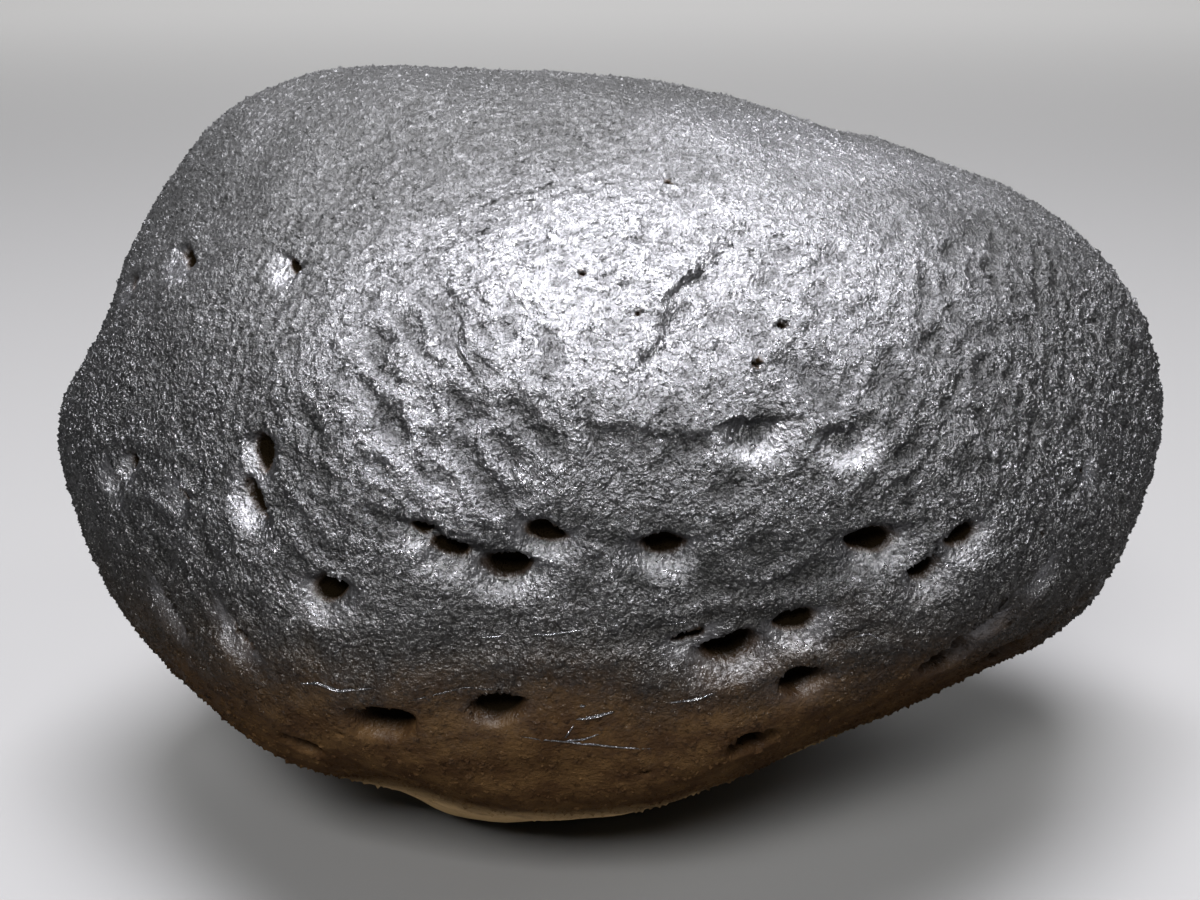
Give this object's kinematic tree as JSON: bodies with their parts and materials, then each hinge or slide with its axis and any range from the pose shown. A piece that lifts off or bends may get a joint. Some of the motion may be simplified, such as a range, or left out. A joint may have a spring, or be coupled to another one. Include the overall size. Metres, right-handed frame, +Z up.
{
  "type": "agate geode",
  "caption": "Whole, closed geode: a dark grey, pitted stone, longer than it is tall, that rests on a small flat spot under its keel.",
  "frame": {"origin": "centre of the outline box, at the level of the flat spot that the stone rests on", "axes": "+X along the stone's length, towards its rounder end; +Z up; -Y towards the side seen in the picture"},
  "size_m": [0.2138, 0.1633, 0.1439],
  "materials": {
    "stone": "satin"
  },
  "bodies": {
    "root": {"geode": "stone"}
  },
  "joints": []
}
